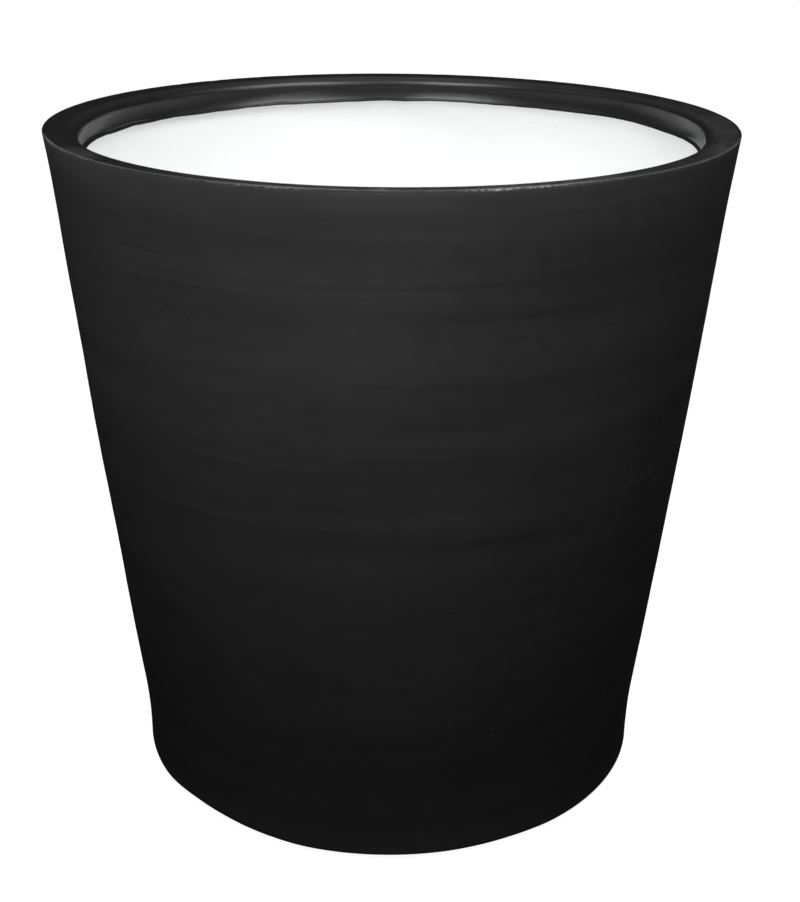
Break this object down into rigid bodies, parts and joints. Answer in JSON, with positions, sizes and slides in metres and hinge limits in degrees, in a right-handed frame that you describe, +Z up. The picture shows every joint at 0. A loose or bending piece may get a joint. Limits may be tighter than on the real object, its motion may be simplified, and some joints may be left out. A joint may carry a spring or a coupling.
{
  "type": "floor planter",
  "caption": "Tall round tapered floor planter: satin black shell, flat rim with a turned-down lip, white liner, drain outlet with pull-out plug, rubber foot pads.",
  "frame": {"origin": "on the floor under the middle of the pot, at the underside of the foot pads", "axes": "+Z up, along the pot's axis; +X through foot_pad_1; -Y towards the viewer of the picture"},
  "size_m": [0.5998, 0.5998, 0.605],
  "materials": {
    "shell_black": "satin black gelcoat on glass-fibre laminate",
    "rim_black": "satin-gloss black gelcoat on glass-fibre laminate",
    "liner_white": "smooth matt white",
    "outlet_plastic": "black moulded plastic",
    "washer_nylon": "natural nylon",
    "seal_rubber": "black rubber",
    "plug_rubber": "dark grey rubber",
    "pad_rubber": "black rubber"
  },
  "bodies": {
    "pot": {"outer_shell": "shell_black", "inner_liner": "liner_white", "rim_ring": "rim_black", "drain_bush": "outlet_plastic", "drain_seal": "seal_rubber", "backnut_washer": "washer_nylon", "drain_backnut": "outlet_plastic", "foot_pad_1": "pad_rubber", "foot_pad_2": "pad_rubber", "foot_pad_3": "pad_rubber", "foot_pad_4": "pad_rubber", "foot_pad_5": "pad_rubber", "foot_pad_6": "pad_rubber"},
    "drain_plug": {"drain_plug": "plug_rubber"}
  },
  "joints": [
    {"name": "drain_plug_lift", "type": "slide", "parent": "pot", "child": "drain_plug", "axis": [0, 0, 1], "range_m": [0, 0.62]}
  ]
}
